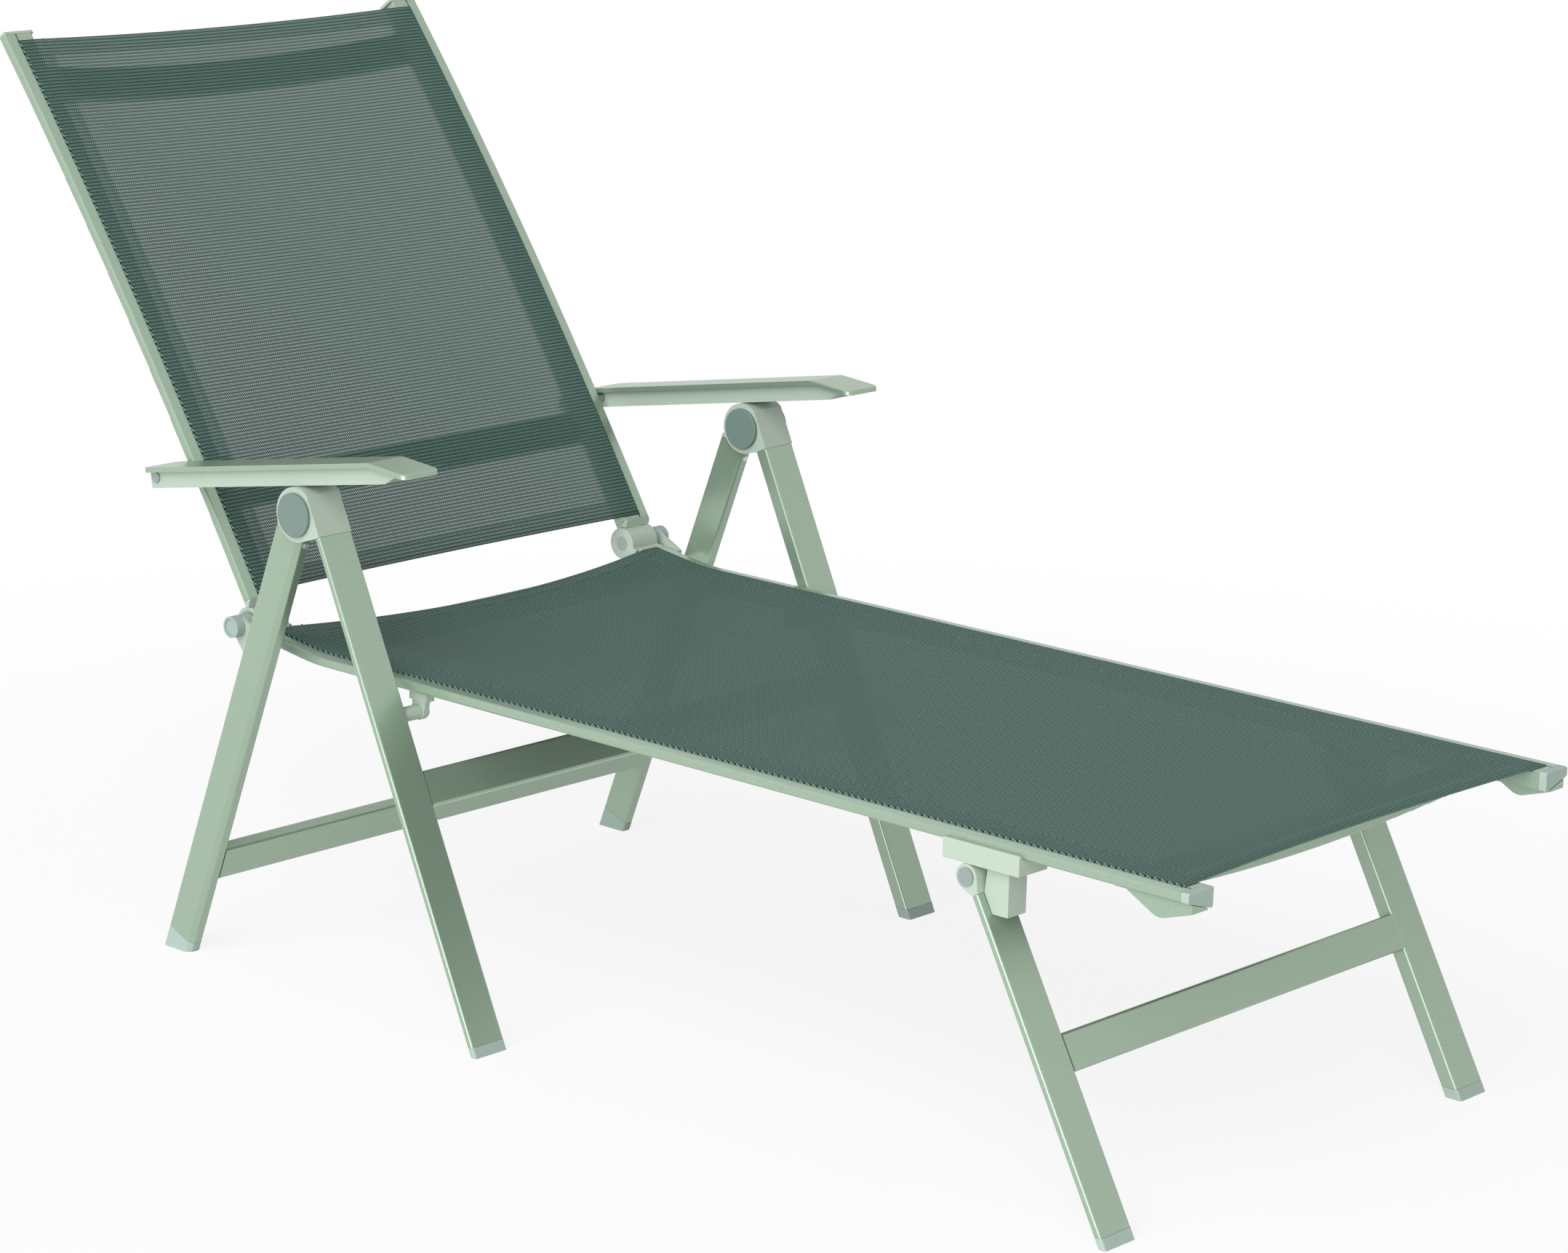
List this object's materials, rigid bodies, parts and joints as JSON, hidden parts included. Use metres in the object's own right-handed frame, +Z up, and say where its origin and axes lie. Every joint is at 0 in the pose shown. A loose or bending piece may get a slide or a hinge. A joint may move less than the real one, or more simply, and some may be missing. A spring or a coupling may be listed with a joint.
{
  "type": "folding sun lounger",
  "caption": "Folding sun lounger with mesh slings on a light tubular frame, a reclining back, hinged armrests and folding legs.",
  "frame": {"origin": "centre of the bounding box's base, on the floor under the middle of the length", "axes": "+X towards the foot end, +Y towards the right side, +Z up"},
  "size_m": [1.5855, 0.6914, 0.9133],
  "materials": {
    "frame": "silver powder coat, slightly green",
    "sling": "woven plastic-coated mesh",
    "keder": "extruded cord",
    "pin": "plated steel",
    "disc": "dark grey moulding",
    "foot": "grey moulding",
    "fitting": "pale grey moulding"
  },
  "bodies": {
    "seat": {"seat_rail_left": "frame", "seat_rail_right": "frame", "seat_rail_cap_left": "foot", "seat_rail_cap_right": "foot", "hinge_bracket_left": "fitting", "hinge_bracket_right": "fitting", "leg_pivot_bracket_left": "fitting", "leg_pivot_bracket_right": "fitting", "end_leg_bracket_left": "fitting", "end_leg_bracket_right": "fitting", "hinge_knobs": "fitting", "foot_gussets": "frame", "foot_crossbar": "frame", "rear_seat_crossbar": "frame", "seat_sling": "sling", "seat_keders": "keder"},
    "hinge_pins": {"hinge_pins": "pin", "hinge_bushes": "pin"},
    "backrest": {"back_rail_left": "frame", "back_rail_right": "frame", "back_cap_left": "foot", "back_cap_right": "foot", "back_knuckle_left": "fitting", "back_knuckle_right": "fitting", "back_upper_crossbar": "frame", "back_lower_crossbar": "frame", "back_sling": "sling", "back_keders": "keder"},
    "armrest_pins": {"armrest_pins": "pin"},
    "armrests": {"armrest_top_left": "frame", "armrest_top_right": "frame", "armrest_base_left": "fitting", "armrest_base_right": "fitting"},
    "front_legs": {"front_leg_left": "frame", "front_leg_right": "frame", "front_head_left": "fitting", "front_head_right": "fitting", "front_foot_left": "foot", "front_foot_right": "foot", "front_crossbar": "frame", "leg_pivot_pins": "pin", "disc_pins": "pin", "pivot_discs": "disc"},
    "rear_legs": {"rear_leg_left": "frame", "rear_leg_right": "frame", "rear_head_left": "fitting", "rear_head_right": "fitting", "rear_foot_left": "foot", "rear_foot_right": "foot", "rear_crossbar": "frame", "head_screws": "pin"},
    "end_legs": {"end_leg_left": "frame", "end_leg_right": "frame", "end_head_left": "fitting", "end_head_right": "fitting", "end_foot_left": "foot", "end_foot_right": "foot", "end_crossbar": "frame", "end_pivot_pins": "pin"}
  },
  "joints": [
    {"name": "frame_fold", "type": "hinge", "parent": "seat", "child": "front_legs", "pos_m": [-0.16572, 0, 0.305], "axis": [0, 1, 0], "range_deg": [0, 105]},
    {"name": "rear_leg_fold", "type": "hinge", "parent": "front_legs", "child": "rear_legs", "pos_m": [-0.2698, 0, 0.49478], "axis": [0, 1, 0], "range_deg": [-45.47, 0]},
    {"name": "back_fold", "type": "hinge", "parent": "seat", "child": "hinge_pins", "pos_m": [-0.40022, 0, 0.3527], "axis": [0, 1, 0], "range_deg": [0, 90.01]},
    {"name": "back_recline", "type": "hinge", "parent": "hinge_pins", "child": "backrest", "pos_m": [-0.40022, 0, 0.3527], "axis": [0, 1, 0], "range_deg": [-55.3, 0]},
    {"name": "armrest_fold", "type": "hinge", "parent": "backrest", "child": "armrest_pins", "pos_m": [-0.48562, 0, 0.4966], "axis": [0, 1, 0], "range_deg": [-95.01, 0]},
    {"name": "armrest_recline", "type": "hinge", "parent": "armrest_pins", "child": "armrests", "pos_m": [-0.48562, 0, 0.4966], "axis": [0, 1, 0], "range_deg": [0, 34.63]},
    {"name": "end_legs_fold", "type": "hinge", "parent": "seat", "child": "end_legs", "pos_m": [0.55328, 0, 0.3015], "axis": [0, 1, 0], "range_deg": [0, 105]}
  ],
  "couplings": [
    {"joint": "rear_leg_fold", "follows": "frame_fold", "ratio": -0.43295},
    {"joint": "back_fold", "follows": "frame_fold", "ratio": 0.85714},
    {"joint": "armrest_fold", "follows": "frame_fold", "ratio": -0.90476},
    {"joint": "armrest_recline", "follows": "back_recline", "ratio": -0.626}
  ]
}
